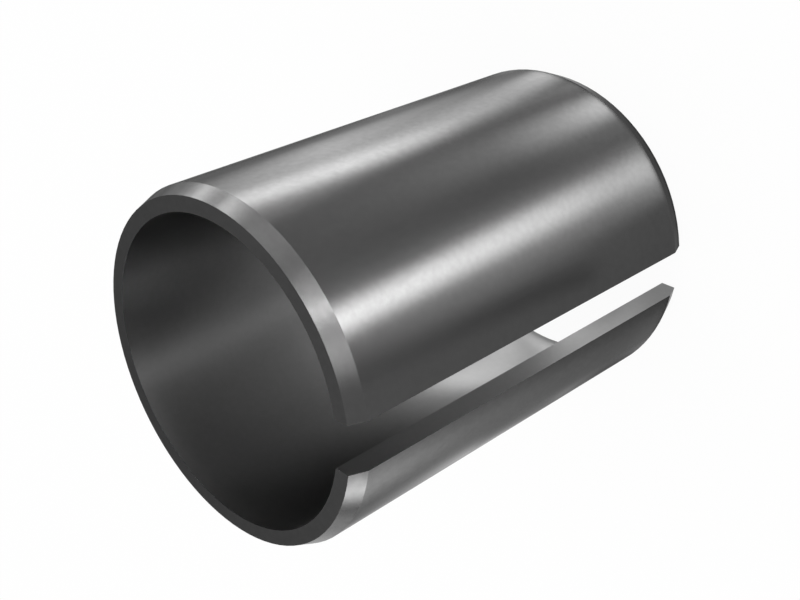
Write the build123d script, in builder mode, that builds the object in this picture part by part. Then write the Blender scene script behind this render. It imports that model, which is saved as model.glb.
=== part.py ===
import os

from build123d import *

# Driving dimensions in millimetres, of the pin in its free state
outer_diameter = 16.0
length = 21.5
strip_thickness = 1.0
slot_width = 2.25
lead_in_length = 0.78  # of the chamfer at each end, along the axis
lead_in_depth = 0.30  # of the same chamfer, towards the axis

bore_diameter = outer_diameter - 2 * strip_thickness

# The pin stands on one end, with its axis on +Z and its slot towards +X
with BuildPart() as spring_pin:
    # Section of the rolled strip: an open ring, whose two edges face each other across the slot
    with BuildSketch() as rolled_strip:
        Circle(outer_diameter / 2)
        Circle(bore_diameter / 2, mode=Mode.SUBTRACT)
        with Locations((outer_diameter / 2, 0)):
            Rectangle(outer_diameter, slot_width, mode=Mode.SUBTRACT)
    extrude(amount=length)

    # Lead-in at both ends, a shallow cone that guides the pin into its hole
    outer_wall = spring_pin.faces().filter_by(GeomType.CYLINDER).sort_by(SortBy.RADIUS)[-1]
    rims = outer_wall.edges().filter_by(GeomType.CIRCLE)
    chamfer(rims, length=lead_in_length, length2=lead_in_depth, reference=outer_wall)

spring_pin.part.label = "spring_pin"

os.makedirs("parts", exist_ok=True)
export_step(spring_pin.part, "parts/spring_pin.step")
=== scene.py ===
import math

import bpy
from mathutils import Matrix, Vector


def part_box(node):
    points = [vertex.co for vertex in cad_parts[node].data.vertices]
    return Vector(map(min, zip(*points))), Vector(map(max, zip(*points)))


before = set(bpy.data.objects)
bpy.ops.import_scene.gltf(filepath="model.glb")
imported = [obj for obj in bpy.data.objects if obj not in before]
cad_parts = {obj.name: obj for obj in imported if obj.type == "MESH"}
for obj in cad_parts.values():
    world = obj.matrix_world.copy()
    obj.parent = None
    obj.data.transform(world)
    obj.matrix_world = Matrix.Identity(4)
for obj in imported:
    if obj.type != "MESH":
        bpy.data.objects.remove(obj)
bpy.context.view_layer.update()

MM = 0.001
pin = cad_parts["spring_pin"]
pin_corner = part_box("spring_pin")[1]
pin_radius = pin_corner.y
pin_height = pin_corner.z
strip_thickness = 1.0 * MM
slot_width = 2.25 * MM
bore_radius = pin_radius - strip_thickness

# Camera: it looks across the slot and into the top end, with the pin's Y axis upright in the picture
view_turn = math.radians(45)  # round the Y axis, between the slot's side and the top end
view_tilt = math.radians(28.44)  # towards +Y
view_target = Vector((0.6 * MM, 0, 11.73 * MM))
view_distance = 57.47 * MM
view_lens = 56.76  # on a sensor 36 wide
view_clip = 1 * MM
view_back = Vector((
    math.sin(view_turn) * math.cos(view_tilt),
    math.sin(view_tilt),
    math.cos(view_turn) * math.cos(view_tilt),
))
view_place = view_target + view_back * view_distance

# Steel: its skin is the outside and the ends, and its bare part is the bore and the slot's two cut edges.
# That part's lighter tone is partly bare steel and partly painted light, which brightens the bore where
# little light gets in
skin_tone = (0.065, 0.071)
bare_and_painted_light_tone = (0.235, 0.245)
skin_roughness = (0.19, 0.21)
bare_roughness = (0.31, 0.33)
grazing_tint = 0.38
grain_scale = 3500.0
cloud_scale = 320.0
swell_scale = 900.0
swell_depth = 0.00015 * MM
noise_range = (0.3, 0.7)  # that nearly all of a noise lies in
bare_and_painted_light_margin = 0.05 * MM  # that the bare, partly painted-light part reaches past the bore's radius and the slot's half width
upright_limit = 0.1  # for the normal's Z, on the bore's wall
sideways_limit = 0.95  # for the normal's Y, on the cut edges

# Floor and studio
floor_half = 2000 * MM
floor_tone = 0.9
floor_white = 0.95  # share of plain white in the floor, as the camera and the steel see it
studio_rise = (0.05, 0.6)  # Z of the directions where the walls end and the ceiling starts
studio_tone = (1.0, 0.85)

# Ribbons of light and shade just above the floor, which show only in the steel. Some go on up a wall
ribbon_steps = 8  # between two stations of a ribbon, or two heights of a streak
ribbon_across = 14
first_height = 0.02  # mm above the floor, of the lowest ribbon
height_step = 0.005  # mm, so that no two ribbons lie in one plane
wall_reach = 1500  # mm, from the pin's axis

# Painted shade: grey cards, seen only in the steel, that darken what it mirrors beside the outside's two
# rims, in front of the slot and on the floor inside the bore. Each is a name and its stations: (distance from
# the pin's axis in mm, azimuth, width, level), with angles in degrees
shade_cards = [
    ("card_left", [(8, 123, 28, 0.7), (14, 163, 28, 0.7), (60, 192, 20, 0.9)]),
    ("card_right", [(8, 312, 32, 0.8), (12, 280, 26, 0.7), (20, 276, 34, 0.9)]),
    ("card_slot", [(14, 5, 20, 0.4), (300, 15, 35, 0.4)]),
    ("card_bore", [(0.3, 0, 400, 0.9), (4, 0, 400, 0.9), (5.5, 0, 400, 0)]),
]

# Streaks of light on the outside. Each is a name, its (azimuth, width) in degrees at the foot and at the
# head, and its levels at streak_heights. Those above the head light what the steel mirrors less sharply
streak_heights = [share * pin_height for share in (0.04, 0.2, 0.4, 0.7, 1, 1.4, 1.8)]
streaks = [
    ("streak_main", (40, 16), (36.5, 11), (2, 3.5, 7, 10, 14, 30, 0)),
    ("streak_main_skirt", (39, 28), (33, 34), (4, 2.5, 2, 1.5, 0.5, 0, 0)),
    ("streak_left", (95, 18), (92, 22), (1.5, 3, 7, 14, 6, 5, 0)),
    ("streak_left_head", (80, 17), (82, 12), (3, 2.5, 3, 12, 13, 0, 0)),
    ("streak_left_foot", (91, 18), (76, 18), (14, 10, 7.5, 3.5, 1.5, 0, 0)),
    ("streak_near_foot", (66, 17), (66, 30), (7, 3.5, 1.5, 0.5, 0, 0, 0)),
    ("streak_near_skirt", (64, 36), (52, 10), (1.5, 1, 0, 0, 0, 0, 0)),
    ("streak_right", (-18, 22), (-16, 20), (1.5, 1.5, 2, 3, 6.5, 0, 0)),
    ("streak_far_right", (-32, 44), (-25, 14), (0, 0, 0.5, 2, 1, 0, 0)),
]

# Other strip lights, each with stations like a card's. Where (height in mm, level) follows, the strip goes on
# up a wall at its last station, and its light falls from that level to nothing at that height
strips = [
    # Farther out, mainly for the top chamfer
    ("strip_main", [(120, 35, 45, 30), (wall_reach, 45, 20, 30)], (360, 16)),
    ("strip_left", [(60, 131, 8, 8), (wall_reach, 120, 20, 11)], (200, 9)),
    ("strip_far_left", [(100, 150, 60, 4.5), (wall_reach, 160, 25, 25)]),
    ("strip_right", [(44, 296, 30, 7.5), (wall_reach, 304, 8, 15)]),
    ("strip_far_right", [(44, 266, 43, 1), (wall_reach, 265, 45, 30)]),
    ("strip_chamfer", [(103, 149, 7, 0), (115, 146, 7, 25), (130, 142, 7, 0)]),
    ("strip_chamfer_left", [(60, 172, 12, 0), (69, 168, 12, 6), (82, 162, 12, 0)]),
    # At the pin's foot, for the bottom chamfer
    ("strip_foot", [(7.8, 32, 110, 0.6), (8.6, 32, 110, 0)]),
    # On the walls alone
    ("wall_right", [(wall_reach, 23, 40, 8)], (350, 8)),
    ("wall_middle", [(wall_reach, 55, 35, 7)], (330, 7)),
    ("wall_left", [(wall_reach, 90, 120, 6.5)], (230, 3)),
    # On the floor inside the bore
    ("bore_glow", [(4, 232, 190, 0.4), (6, 186, 180, 3.8), (6.99, 185, 170, 0.3)]),
    ("bore_glow_left", [(3.3, 80, 12, 9.5), (5.2, 47, 115, 1.2), (6.99, 30, 65, 0.6)]),
    ("bore_glow_right", [(4, 310, 60, 0.5), (5.5, 305, 65, 7), (6.99, 280, 100, 0)]),
]


def rgb(value):
    """A neutral grey as a colour with alpha."""
    return (value, value, value, 1)


def add_node(tree, kind, inputs=(), **settings):
    """A shader node with its sockets set, or linked where the value is another node's output."""
    node = tree.nodes.new(kind)
    for name, value in settings.items():
        setattr(node, name, value)
    for name, value in dict(inputs).items():
        if isinstance(value, bpy.types.NodeSocket):
            tree.links.new(value, node.inputs[name])
        else:
            node.inputs[name].default_value = value
    return node


def calculate(tree, operation, *values):
    return add_node(tree, "ShaderNodeMath", dict(enumerate(values)), operation=operation).outputs[0]


def mixed(tree, share, first, second):
    """first where share is 0, and second where it is 1."""
    return add_node(tree, "ShaderNodeMix", {0: share, 2: first, 3: second}, data_type="FLOAT").outputs[0]


def mapped(tree, value, source, result):
    """value stretched from one range to another, and held inside it."""
    return add_node(tree, "ShaderNodeMapRange", {
        "Value": value,
        "From Min": source[0],
        "From Max": source[1],
        "To Min": result[0],
        "To Max": result[1],
    }).outputs["Result"]


def noise(tree, place, scale, detail):
    inputs = {"Vector": place, "Scale": scale, "Detail": detail}
    return add_node(tree, "ShaderNodeTexNoise", inputs).outputs["Fac"]


def empty_material(name):
    material = bpy.data.materials.new(name)
    material.use_nodes = True
    material.node_tree.nodes.clear()
    return material


def add_object(name, data):
    """An object with this mesh, camera or lamp, in the scene."""
    added = bpy.data.objects.new(name, data)
    bpy.context.scene.collection.objects.link(added)
    return added


def make_camera():
    data = bpy.data.cameras.new("camera")
    data.lens = view_lens
    data.clip_start = view_clip
    camera = add_object("camera", data)
    right = Vector((0, 1, 0)).cross(view_back).normalized()
    turned = Matrix((right, view_back.cross(right), view_back)).transposed().to_4x4()
    camera.matrix_world = Matrix.Translation(view_place) @ turned
    bpy.context.scene.camera = camera


def bare_and_painted_light_part(tree, coordinates):
    """1 on the wall of the bore and on the two cut edges of the slot, and 0 on the outside and the ends."""
    place = add_node(tree, "ShaderNodeSeparateXYZ", {0: coordinates.outputs["Object"]}).outputs
    normal = add_node(tree, "ShaderNodeSeparateXYZ", {0: coordinates.outputs["Normal"]}).outputs
    flat = add_node(tree, "ShaderNodeCombineXYZ", {"X": place["X"], "Y": place["Y"]}).outputs[0]
    radius = add_node(tree, "ShaderNodeVectorMath", {0: flat}, operation="LENGTH").outputs["Value"]
    within_bore = calculate(tree, "LESS_THAN", radius, bore_radius + bare_and_painted_light_margin)
    upright = calculate(tree, "COMPARE", normal["Z"], 0.0, upright_limit)
    bore = calculate(tree, "MULTIPLY", within_bore, upright)
    off_middle = calculate(tree, "ABSOLUTE", place["Y"])
    by_slot = calculate(tree, "LESS_THAN", off_middle, slot_width / 2 + bare_and_painted_light_margin)
    turned = calculate(tree, "ABSOLUTE", normal["Y"])
    sideways = calculate(tree, "GREATER_THAN", turned, sideways_limit)
    cut_edge = calculate(tree, "MULTIPLY", by_slot, sideways)
    return calculate(tree, "MAXIMUM", bore, cut_edge)


def spring_steel():
    """Dark satin steel, with a fine grain in its tone, slow clouds in its roughness and a slight swell."""
    material = empty_material("spring_steel")
    tree = material.node_tree
    coordinates = add_node(tree, "ShaderNodeTexCoord")
    place = coordinates.outputs["Object"]
    bare_and_painted_light = bare_and_painted_light_part(tree, coordinates)
    grain = noise(tree, place, grain_scale, 2.0)
    cloud = noise(tree, place, cloud_scale, 2.0)
    swell = noise(tree, place, swell_scale, 1.0)
    skin = mapped(tree, grain, noise_range, skin_tone)
    # Painted light in part: the bore and the cut edges get a lighter tone, as bare steel and to brighten the
    # bore, which little light reaches
    tone = mixed(tree, bare_and_painted_light, skin, mapped(tree, grain, noise_range, bare_and_painted_light_tone))
    satin = mapped(tree, cloud, noise_range, skin_roughness)
    roughness = mixed(tree, bare_and_painted_light, satin, mapped(tree, cloud, noise_range, bare_roughness))
    relief = add_node(tree, "ShaderNodeBump", {"Height": swell, "Strength": 1.0, "Distance": swell_depth})
    steel = add_node(tree, "ShaderNodeBsdfPrincipled", {
        "Base Color": tone,
        "Metallic": 1.0,
        "Roughness": roughness,
        "Specular Tint": rgb(grazing_tint),
        "Normal": relief.outputs[0],
    })
    add_node(tree, "ShaderNodeOutputMaterial", {"Surface": steel.outputs["BSDF"]})
    return material


def seen_directly_or_mirrored(tree):
    """1 for camera, glossy and transmission rays, and 0 for the rays that light the object."""
    ray = add_node(tree, "ShaderNodeLightPath").outputs
    mirrored = calculate(tree, "MAXIMUM", ray["Is Glossy Ray"], ray["Is Transmission Ray"])
    return calculate(tree, "MAXIMUM", ray["Is Camera Ray"], mirrored)


def make_floor():
    material = empty_material("floor")
    tree = material.node_tree
    lit = add_node(tree, "ShaderNodeBsdfDiffuse", {"Color": rgb(floor_tone)})
    white = add_node(tree, "ShaderNodeEmission", {"Color": rgb(1.0), "Strength": 1.0})
    share = calculate(tree, "MULTIPLY", seen_directly_or_mirrored(tree), floor_white)
    both = add_node(tree, "ShaderNodeMixShader", {"Fac": share, 1: lit.outputs[0], 2: white.outputs[0]})
    add_node(tree, "ShaderNodeOutputMaterial", {"Surface": both.outputs[0]})
    corners = [(x * floor_half, y * floor_half, 0) for x, y in ((-1, -1), (1, -1), (1, 1), (-1, 1))]
    mesh = bpy.data.meshes.new("floor")
    mesh.from_pydata(corners, [], [(0, 1, 2, 3)])
    mesh.materials.append(material)
    floor = add_object("floor", mesh)


def make_world():
    """Studio walls: white at the horizon and greyer overhead."""
    world = bpy.data.worlds.new("studio")
    world.use_nodes = True
    tree = world.node_tree
    tree.nodes.clear()
    direction = add_node(tree, "ShaderNodeTexCoord").outputs["Generated"]
    height = add_node(tree, "ShaderNodeSeparateXYZ", {0: direction}).outputs["Z"]
    tone = mapped(tree, height, studio_rise, studio_tone)
    background = add_node(tree, "ShaderNodeBackground", {"Color": tone, "Strength": 1.0})
    add_node(tree, "ShaderNodeOutputWorld", {"Surface": background.outputs[0]})
    bpy.context.scene.world = world


def area_light(name, place, target, size, power):
    """A round lamp, hidden from the camera. place, target and size are in mm, and power is in watts."""
    data = bpy.data.lights.new(name, "AREA")
    data.shape = "DISK"
    data.size = size * MM
    data.energy = power
    light = add_object(name, data)
    light.location = Vector(place) * MM
    light.rotation_euler = (Vector(target) - Vector(place)).to_track_quat("-Z", "Y").to_euler()
    light.visible_camera = False


def across():
    """Shares across a ribbon, from -1 at one edge to 1 at the other."""
    return [2 * j / ribbon_across - 1 for j in range(ribbon_across + 1)]


def angles_across(azimuth, width):
    return [math.radians(azimuth + share * width / 2) for share in across()]


def fading(share):
    """1 at a share of 0, falling softly to 0 at shares of -1 and 1."""
    return (1 - share * share) ** 2


def blend(start, end, share):
    return [a + (b - a) * share for a, b in zip(start, end)]


def blend_stations(start, end, share):
    """A station between two others. Its distance from the axis grows by the same factor in each step."""
    reach = start[0] * (end[0] / start[0]) ** share
    return [reach] + blend(start[1:], end[1:], share)


def in_steps(marks, between):
    """The marks, and the steps that between works out from each of them to the next."""
    steps = []
    for start, end in zip(marks, marks[1:]):
        steps += [between(start, end, i / ribbon_steps) for i in range(ribbon_steps)]
    return steps + [list(marks[-1])]


def strip_rows(height, stations, wall=None):
    """Rows of a ribbon along the floor and up its wall, each with its places and its level."""
    marks = [station + [height] for station in in_steps(stations, blend_stations)]
    if wall:
        wall_height, wall_level = wall
        reach, azimuth, width, _ = stations[-1]
        for i in range(1, ribbon_steps + 1):
            share = i / ribbon_steps
            marks.append([reach, azimuth, width, wall_level * fading(share), wall_height * share])
    rows = []
    for reach, azimuth, width, level, rise in marks:
        angles = angles_across(azimuth, width)
        places = [(reach * MM * math.cos(a), reach * MM * math.sin(a), rise * MM) for a in angles]
        rows.append((places, level))
    return rows


def mirrored_place(azimuth, height):
    """Where the camera's line of sight meets the floor, once the outside has mirrored it at this place."""
    outward = Vector((math.cos(azimuth), math.sin(azimuth), 0))
    mirror = outward * pin_radius + Vector((0, 0, height))
    ray = (mirror - view_place).reflect(outward)
    return mirror - ray * (height / ray.z)


def streak_rows(height, foot, head, levels):
    """Rows of the ribbon on the floor that the camera sees as a streak along the pin's outside."""
    rows = []
    for wall_height, level in in_steps(list(zip(streak_heights, levels)), blend):
        azimuth, width = blend(foot, head, min(wall_height / pin_height, 1))
        places = [mirrored_place(angle, wall_height) for angle in angles_across(azimuth, width)]
        rows.append(([(place.x, place.y, height * MM) for place in places], level))
    return rows


def soft_ribbon(name, rows):
    """A ribbon whose level fades to 0 at both edges. Returns its shader tree, and the level there."""
    verts = [place for places, _ in rows for place in places]
    levels = [level * fading(share) for _, level in rows for share in across()]
    row_length = ribbon_across + 1
    faces = []
    for i in range(len(rows) - 1):
        for j in range(ribbon_across):
            a = i * row_length + j
            faces.append((a, a + row_length, a + row_length + 1, a + 1))
    mesh = bpy.data.meshes.new(name)
    mesh.from_pydata(verts, [], faces)
    mesh.attributes.new("level", "FLOAT", "POINT").data.foreach_set("value", levels)
    material = empty_material(name)
    mesh.materials.append(material)
    ribbon = add_object(name, mesh)
    ribbon.visible_camera = False
    ribbon.visible_diffuse = False
    ribbon.visible_shadow = False
    tree = material.node_tree
    return tree, add_node(tree, "ShaderNodeAttribute", attribute_name="level").outputs["Fac"]


def light_strip(name, rows):
    """A clear ribbon that gives off as much light as its level says."""
    tree, level = soft_ribbon(name, rows)
    glow = add_node(tree, "ShaderNodeEmission", {"Color": rgb(1.0), "Strength": level})
    clear = add_node(tree, "ShaderNodeBsdfTransparent")
    both = add_node(tree, "ShaderNodeAddShader", {0: glow.outputs[0], 1: clear.outputs[0]})
    add_node(tree, "ShaderNodeOutputMaterial", {"Surface": both.outputs[0]})


def painted_shade_card(name, rows):
    """A ribbon of painted shade, seen only in the steel, that holds back the share of light that its level
    says.
    """
    tree, level = soft_ribbon(name, rows)
    passed = calculate(tree, "SUBTRACT", 1.0, level)
    clear = add_node(tree, "ShaderNodeBsdfTransparent", {"Color": passed})
    add_node(tree, "ShaderNodeOutputMaterial", {"Surface": clear.outputs[0]})


def make_ribbons():
    """The cards of painted shade, the streaks and the other strips, each one a little higher than the one
    before.
    """
    groups = [
        (painted_shade_card, strip_rows, shade_cards),
        (light_strip, streak_rows, streaks),
        (light_strip, strip_rows, strips),
    ]
    height = first_height
    for show, lay_out, ribbons in groups:
        for name, *shape in ribbons:
            show(name, lay_out(height, *shape))
            height += height_step


pin.data.materials.clear()
pin.data.materials.append(spring_steel())
make_camera()
make_floor()
make_world()
area_light("overhead", place=(0, 0, 200), target=(0, 0, 0), size=150, power=0.05)
area_light("front", place=(150, 110, 150), target=(0, 0, 10), size=120, power=0.05)
make_ribbons()

bpy.context.scene.view_settings.view_transform = "Standard"
